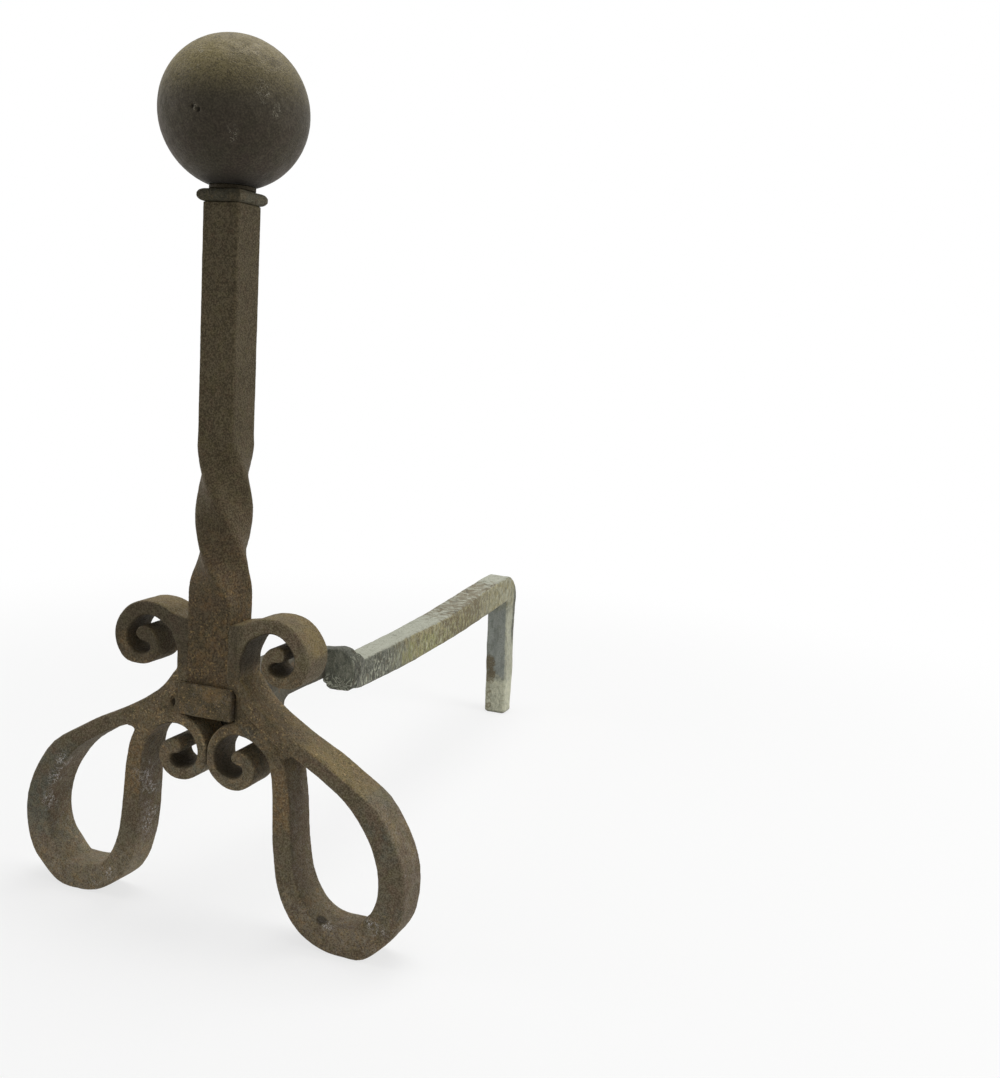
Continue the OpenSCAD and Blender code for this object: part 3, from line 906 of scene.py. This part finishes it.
def close_on_block(skin, front):
    """Brings a strap's inner face up to the block's side and fills its eased front edge,
    as the weld does."""
    out = np.abs(skin.points[:, 0])
    side = np.sign(skin.points[:, 0])
    inward = -skin.normals[:, 0] * side
    gap = np.clip(out - BLOCK_HALF, 0, WELD_FILLET[1])
    beside = band(skin.points[:, 2], *BESIDE_BLOCK) * (1 - step(gap, *WELD_FILLET))
    edge = step(inward, 0.05, 0.25) * step(-skin.normals[:, 1], 0.05, 0.25)
    near = most(edge, 1 - step(out, 0.0225, 0.0235)) * beside
    skin.points[:, 0] -= side * step(inward, 0.15, 0.5) * beside * (gap + WELD_OVERLAP)
    square_off(skin, front, near)


def fill_weld(skin, front, seed):
    """Brings the sunk strip beside the collar forward, rough as a weld. Returns where it is."""
    points = skin.points
    weld = band(points[:, 1] - front, *WELD_STRIP) * step(-skin.normals[:, 1], 0.6, 0.9)
    weld = weld * band(points[:, 2], *WELD_UP)
    points[:, 1] -= weld * (WELD_RISE + WELD_ROUGHNESS * grain(points, 4 * MM, seed))
    skin.refresh()
    return weld


def leg_rust(skin, at):
    """Orange stains on hub, stem and curl, and light flecks there and along the sunned top."""
    rust = most(0.5 * at.hub, at.stain, 0.3 * at.lower, 0.2 * at.foot, 0.7 * at.curl)
    skin.mark(rust=0.05 + 0.95 * rust)
    golden = 0.7 * at.sunned * at.crest * step(at.up, *ABOVE_FOOT)
    flecks = most(0.9 * at.hub, 0.5 * at.stain, 0.45 * at.foot, 0.3 * at.lower, 0.5 * at.curl)
    skin.mark(flecked=most(flecks, golden))


def leg_tints(skin, at):
    """Browner above, greyer far out in front, redder inside the loop, a paler khaki on
    lamp-facing faces that is partly dust and partly painted light, and paler as painted light in
    the scroll gap.
    """
    brown = step(at.up, 0.09, 0.19) * (1 - 0.5 * step(at.up, 0.205, 0.220))
    skin.mark(upper=most(brown, at.stem * at.front))
    inner_left = at.left * step(at.normals[:, 0], 0.2, 0.6) * at.level
    skin.mark(plum=most(0.3, 0.6 * at.foot, 0.5 * inner_left, 0.7 * at.right * at.level))
    grey = step(at.out, 0.115, 0.150) * at.level * at.front * (1.0 if at.left else 0.4)
    far_top = 0.7 * at.sunned * at.far
    skin.mark(cool=most(grey, 0.35 * at.lower, far_top, 0.35 * inner_left))
    khaki = most(0.25, 0.85 * at.crest, 0.6 * step(at.up, 0.19, 0.21))
    skin.mark(khaki=at.sunned * khaki * step(at.up, *ABOVE_FOOT))
    inner = 1 - step(at.out, 0.125, 0.160)
    dusty = at.foot * (1.0 if at.left else 0.5) * (0.5 + 0.5 * inner)
    # Pale is dust at the foot, hub and lower scroll, and painted light in the scroll gap.
    skin.mark(pale=most(dusty, 0.4 * at.hub, 0.35 * at.lower, 0.9 * at.gap))


def leg_painted_shade_and_speck(skin, at, hole):
    """Painted shade in the scrolls' eyes, beside block and collar, on the weld strip, in the
    weld's hole and on the left upper scroll's front, and one real dark speck in the right loop.
    """
    # Painted shade inside the scrolls' eyes and beside the block.
    upper_eye = at.inside_scroll(UPPER_EYE, UPPER_REACH)
    lower_eye = at.inside_scroll(LOWER_EYE, LOWER_REACH)
    by_block = 0.5 * at.front * (1 - step(at.out, 0.024, 0.036)) * step(at.up, 0.200, 0.210)
    soot_and_painted_shade = most(0.68 * upper_eye, 0.68 * lower_eye, by_block, hole)
    if at.left:
        # Painted shade on the left upper scroll's front.
        skin.mark(painted_shade_and_dark_spots=most(soot_and_painted_shade, 0.45 * at.upper * (1 - at.curl)))
        return
    # Painted shadow beside the collar, and one real dark speck in the loop.
    beside_collar = band(at.up, *COLLAR_UP)
    narrow = 0.75 * beside_collar * (1 - step(at.out, 0.0275, 0.0290))
    wide = 0.30 * beside_collar * (1 - step(at.out, 0.031, 0.036))
    speck = 1.6 * spot(at.points, LOOP_SPECK, 0.0060, 0.0060)
    skin.mark(painted_shade_and_dark_spots=most(soot_and_painted_shade, narrow, wide, speck))


def leg_painted_light_and_shade(skin, at):
    """Painted light and shade on a leg: painted light low down, in front, in the scroll gap and
    on the left loop's right faces; painted shade on lamp-facing faces, on the right leg's right
    faces and hub, and on the left upper scroll's front.
    """
    front = at.front * (1 - at.hub)
    low_down = 1 - step(at.up, 0.03, 0.09)
    if at.left:
        loop = step(at.out, *LOOP_OUT) * (1 - step(at.up, 0.11, 0.15))
        painted_light = most(0.18 * front, 0.50 * low_down, 0.45 * loop * at.right, at.gap)
        painted_shade = most(0.10 * at.sunned, 0.25 * at.upper * (1 - at.hub))
    else:
        painted_light = most(0.32 * front, 0.25 * low_down * (1 - at.right), at.gap)
        top = 0.26 * at.sunned * (1 - 0.7 * at.far)
        painted_shade = most(top, 0.18 * at.right * (1 - at.sunned), 0.22 * at.hub)
    skin.mark(painted_light=painted_light, painted_shade=painted_shade)


def leg_scratches(skin, at):
    """Scratches inside the loop and at the foot, and those that the photograph shows."""
    tall = band(at.up, (0.03, 0.055), (0.135, 0.155))
    scuff = most(0.2 * at.right * tall * step(at.out, 0.045, 0.055), 0.2 * at.foot)
    if at.left:
        loop = spots(at.points, LOOP_SCRATCHES, 0.011, 0.016)
        stem = spots(at.points, STEM_SCRATCHES, 0.014, 0.018)
        low = 0.8 * spots(at.points, LOW_SCRATCHES, 0.009, 0.009)
        scuff = most(scuff, loop, stem, low)
    else:
        scuff = most(scuff, spots(at.points, LOOP_STRAWS, 0.008, 0.006))
    skin.mark(scuff=scuff)


# -------- log bar, arm and stud

REAR_HALF = 0.0105
FOOT_ROUND = 0.0035
LAP_END = (0.020, 0.036)
REAR_ALONG = (0.75, 0.95)
FLAKES_ALONG = ((0.42, 0.52), (0.80, 0.88))
CHIP_DEPTH = 0.0007
UPPER_HALF_UP = (0.163, 0.176)
BACK_FACE = (0.349, 0.354)
BROWN_PATCH_UP = 0.059
ARM_ROOT = (-0.302, -0.296)


class BarPlaces:
    """How far each point of the log bar belongs to the places that the marks are about.
    Along is 0 at the front end and 1 at the rear, and lap is 1 on the rounded front end."""

    def __init__(self, points, normals, along, lap):
        up = points[:, 2]
        self.points = points
        self.normals = normals
        self.along = along
        self.lap = lap
        self.up = up
        self.rear = step(along, *REAR_ALONG)
        self.near = 1 - step(along, 0.14, 0.36)
        self.top = step(normals[:, 2], 0.5, 0.85)
        self.side = step(normals[:, 0], 0.2, 0.6) * (1 - self.top)
        self.front = step(-normals[:, 1], 0.5, 0.85)
        self.upright = self.rear * (1 - step(up, 0.13, 0.15))
        self.low_leg = self.rear * (1 - step(up, 0.034, 0.058))
        self.level_top = step(normals[:, 2], 0.90, 0.97) * (1 - step(points[:, 0], 0.004, 0.014))
        self.rim = lap * (1 - self.level_top) * (1 - self.front)
        self.face = lap * self.front
        self.upper_half = step(up, *UPPER_HALF_UP)
        self.back = step(points[:, 1], *BACK_FACE) * step(up, 0.085, 0.110) * self.side
        self.ochre = self.side * step(along, 0.16, 0.40) * (1 - 0.9 * self.upright)


def round_foot(skin, share):
    """Rounds the rear leg's bottom edge inwards, where share is 1."""
    low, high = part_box("log_bar")
    middle = np.array((0.0, high.y - REAR_HALF))
    deep = np.clip(FOOT_ROUND - skin.points[:, 2], 0, FOOT_ROUND)
    inset = FOOT_ROUND - np.sqrt(FOOT_ROUND ** 2 - deep ** 2)
    for axis in (0, 1):
        towards = middle[axis] - skin.points[:, axis]
        reach = np.clip(np.abs(towards) / REAR_HALF, 0, 1) ** 4
        skin.points[:, axis] += np.sign(towards) * reach * inset * share
    skin.refresh()


def chips(points, flaked):
    """1 along the cracks between the flakes of scale."""
    crack = np.abs(grain(points, 17 * MM, 51) + 0.35 * grain(points, 6 * MM, 52))
    return flaked * (1 - step(crack, 0.0, 0.10)) * step(grain(points, 12 * MM, 53), -0.3, 0.3)


def log_bar(material):
    """The log bar: a lap in front, flakes on top, hammered sides, a rounded rear foot."""
    skin = Skin("log_bar", "log_bar_skin", cell=1.0, smoothing=1)
    low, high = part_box("log_bar")
    round_foot(skin, step(skin.points[:, 1], low.y + 0.2, low.y + 0.25))
    points = skin.points
    normals = skin.normals
    along = (points[:, 1] - low.y) / (high.y - low.y)
    lap = 1 - step(points[:, 1], low.y + LAP_END[0], low.y + LAP_END[1])
    height = hammered(points, 17, 0.25, 41)
    height += hammered(points, 36, 0.6, 43) * (0.3 + step(along, *REAR_ALONG))
    height += pitted(points, 3.0, 0.45, 0.16, 45)
    height += sandy(points, 0.1, 47)
    flaked = step(normals[:, 2], 0.55, 0.85) * band(along, *FLAKES_ALONG)
    chipped = chips(points, flaked)
    skin.raise_by(height - chipped * CHIP_DEPTH)
    at = BarPlaces(skin.points, normals, along, lap)
    bar_soot(skin, at)
    bar_stains(skin, at)
    bar_painted_light_and_shade(skin, at)
    bar_wear(skin, at)
    skin.mark(seam=chipped, brown=bar_browns(at, flaked))
    skin.finish(material)


def bar_soot(skin, at):
    """Ash on top and on the rear leg's side, soot round the lap and behind, and darker on the
    faces that look down.
    """
    not_lap = 1 - at.lap * (1 - 0.9 * at.level_top)
    skin.mark(ash=most(at.top * not_lap, 0.95 * at.upright * at.side))
    near_side = at.near * at.side * (0.6 + 0.4 * at.upper_half)
    under = 0.5 * step(-at.normals[:, 2], 0.3, 0.7)
    skin.mark(soot_and_painted_shade=most(0.36 * at.face, at.rim, near_side, under, 0.7 * at.back))


def bar_stains(skin, at):
    """Slate in front of the rear leg, ochre and moss on the sides, pale far off and low."""
    skin.mark(slate=at.upright * at.front * step(at.up, 0.035, 0.060))
    skin.mark(ochre=at.ochre * (1 - 0.4 * at.rear))
    mossy = (1 - step(at.along, 0.55, 0.75)) * (1 - at.upper_half)
    skin.mark(moss=0.6 * at.ochre * mossy)
    far = 0.28 * at.side * step(at.along, 0.62, 0.80) * (1 - at.back)
    leg_side = 0.5 * at.upright * at.side * (1 - at.back)
    skin.mark(pale=most(1.2 * at.low_leg, leg_side, far))


def bar_painted_light_and_shade(skin, at):
    """Painted light on the lap's end face, the rear foot, the middle of the sides and the far
    top;
    painted shade on the lap's rim, the near side and the back face.
    """
    low_foot = 0.45 * at.rear * (1 - step(at.up, 0.040, 0.055))
    middle = 0.22 * at.side * band(at.along, (0.30, 0.40), (0.60, 0.75))
    far_top = 0.12 * at.top * step(at.along, 0.6, 0.7)
    skin.mark(painted_light=most(0.5 * at.face, low_foot, middle, far_top))
    near_side = at.near * at.side * (0.6 + 0.4 * at.upper_half)
    back = 0.3 * at.back * (1 - at.near)
    skin.mark(painted_shade=most(0.6 * at.rim, 0.2 * near_side * (1 - at.lap), back))


def bar_wear(skin, at):
    """Dark pepper, light scrapes, flow lines on the lap's end, and dark edges."""
    near_side = at.near * at.side
    grainy = most(near_side, 0.9 * at.rim, 0.25 * at.face, 0.25 * at.low_leg)
    skin.mark(pepper=most(grainy, 0.4 * at.ochre, 0.7 * at.back))
    scraped = most(near_side * (1 - 0.5 * at.upper_half), 0.3 * at.side, 0.18 * at.face)
    skin.mark(scrape=most(scraped, 0.1 * at.rim, 0.6 * at.back))
    skin.mark(flow=0.9 * at.face * (1 - step(at.up, 0.168, 0.174)))
    turn = step(skin.bend(), 60, 300)
    lower_edge = turn * step(-at.normals[:, 2], -0.1, 0.4)
    skin.mark(edge=most(0.75 * lower_edge, 0.35 * turn * (1 - at.lap)))


def bar_browns(at, flaked):
    """Brown stains: thin on the sides, thick on the flakes and on the rear leg's left edge."""
    side = step(at.normals[:, 0], 0.3, 0.7)
    left = -at.points[:, 0]
    middle = 0.58 * side * band(at.along, (0.40, 0.52), (0.66, 0.82))
    patch = 1 - step(np.abs(at.up - BROWN_PATCH_UP), 0.009, 0.024)
    leg_edge = at.rear * patch * step(left, 0.001, 0.008)
    low_edge = 0.35 * at.rear * step(left, 0.005, 0.010) * (1 - step(at.up, 0.060, 0.075))
    return most(0.15 * side * (1 - at.rear), middle, 0.50 * flaked, leg_edge, low_edge)


def front_arm(material):
    """The arm between post and log bar, under heavy fire scale, with painted light at its root.
    """
    skin = Skin("front_arm", "front_arm_skin", cell=1.2, smoothing=3)
    roughen(skin, (16, 0.3), (2.8, 0.4, 0.15), 61)
    # Painted light on the arm's root, which sits in shade.
    skin.mark(painted_light=1 - step(skin.points[:, 1], *ARM_ROOT))
    skin.finish(material)


def hidden_stud(material):
    """The stud inside ball, neck and cap keeps its own mesh."""
    stud = frame["nodes"]["finial_stud"]
    stud.data.materials.clear()
    stud.data.materials.append(material)


# -------- camera, light and floor

EYE = Vector((0.5334, -1.1122, 0.4757))
LOOK = Vector((-0.3459, 0.9253, -0.1555))
HEAD = Vector((-0.1124, 0.1237, 0.9859))
LENS = 43.62
SENSOR = 36.0

# Each lamp: its name, place, size and power.
LAMPS = (
    ("top_lamp", (0.2, 0.2, 2.4), 1.6, 40),
    ("right_lamp", (2.2, 0.2, 1.3), 1.2, 20),
    ("left_lamp", (-2.0, -1.0, 1.4), 1.4, 7),
)
LAMP_TARGET = Vector((0.0, 0.0, 0.3))

FLOOR_HALF = 15.0
FLOOR_COLOUR = (0.74, 0.74, 0.73)
FLOOR_ROUGHNESS = 0.9
FLOOR_WHITE = (0.72, 1.0)
FLOOR_FADE = (0.4, 1.3)
SKY_COLOUR = (0.97, 0.98, 1.0)
SKY_STRENGTH = 0.32
WHITE = (1, 1, 1)


def camera():
    """The photograph's view."""
    data = bpy.data.cameras.new("camera")
    data.sensor_fit = "HORIZONTAL"
    data.sensor_width = SENSOR
    data.lens = LENS
    eye = placed("camera", data)
    look = LOOK.normalized()
    right = look.cross(HEAD).normalized()
    head = right.cross(look)
    turned = Matrix((right, head, -look)).transposed().to_4x4()
    turned.translation = EYE
    eye.matrix_world = turned
    bpy.context.scene.camera = eye


def lamp(name, place, size, power):
    """A soft square lamp that looks at the middle of the part."""
    data = bpy.data.lights.new(name, "AREA")
    data.size = size
    data.energy = power
    made = placed(name, data)
    made.location = place
    towards = LAMP_TARGET - Vector(place)
    made.rotation_euler = towards.to_track_quat("-Z", "Y").to_euler()


def white_for_camera(nodes, surface, share, output):
    """Lays plain white over a surface, by share, for rays from the camera, gloss and glass."""
    rays = nodes.node("ShaderNodeLightPath", {}).outputs
    shown = nodes.math("MAXIMUM", rays["Is Camera Ray"], rays["Is Glossy Ray"])
    shown = nodes.math("MAXIMUM", shown, rays["Is Transmission Ray"])
    white = nodes.node("ShaderNodeEmission", {"Color": WHITE}).outputs[0]
    inputs = {0: nodes.times(shown, share), 1: surface.outputs[0], 2: white}
    mixed = nodes.node("ShaderNodeMixShader", inputs)
    nodes.feed(nodes.tree.nodes[output].inputs["Surface"], mixed.outputs[0])


def floor():
    """A wide pale floor that keeps a faint shadow near the part and is white far off."""
    mesh = bpy.data.meshes.new("floor")
    half = FLOOR_HALF
    corners = [(-half, -half, 0), (half, -half, 0), (half, half, 0), (-half, half, 0)]
    mesh.from_pydata(corners, [], [(0, 1, 2, 3)])
    material = bpy.data.materials.new("floor")
    material.use_nodes = True
    nodes = Nodes(material.node_tree)
    shader = nodes.tree.nodes["Principled BSDF"]
    nodes.feed(shader.inputs["Base Color"], FLOOR_COLOUR)
    nodes.feed(shader.inputs["Roughness"], FLOOR_ROUGHNESS)
    place = nodes.node("ShaderNodeTexCoord", {}).outputs["Object"]
    away = nodes.node("ShaderNodeVectorMath", {0: place}, operation="LENGTH")
    far_off = nodes.ramp(away.outputs["Value"], *FLOOR_FADE)
    white_for_camera(nodes, shader, nodes.blend(far_off, *FLOOR_WHITE), "Material Output")
    mesh.materials.append(material)
    placed("floor", mesh)


def world():
    """Even pale light all round, and white behind."""
    sky = bpy.data.worlds.new("world")
    sky.use_nodes = True
    bpy.context.scene.world = sky
    nodes = Nodes(sky.node_tree)
    even = nodes.tree.nodes["Background"]
    nodes.feed(even.inputs["Color"], SKY_COLOUR)
    nodes.feed(even.inputs["Strength"], SKY_STRENGTH)
    white_for_camera(nodes, even, 1.0, "World Output")


def stage():
    """The floor, the sky and the lamps."""
    floor()
    world()
    for name, place, size, power in LAMPS:
        lamp(name, place, size, power)
    bpy.context.scene.view_settings.view_transform = "Standard"


# -------- all of it

def build():
    """The camera, the stage and the ten pieces."""
    camera()
    stage()
    leg_iron = rusty_iron("forged_legs", LEG_COLOURS, rust_share=0.65)
    post_iron = rusty_iron("forged_post", POST_COLOURS, rust_share=0.6)
    arm_iron = scaled_iron()
    ball(ball_iron())
    neck(post_iron)
    cap(post_iron)
    post(post_iron)
    collar(post_iron)
    leg("left_leg", leg_iron, 101)
    leg("right_leg", leg_iron, 121)
    front_arm(arm_iron)
    log_bar(ashed_iron())
    hidden_stud(arm_iron)


build()
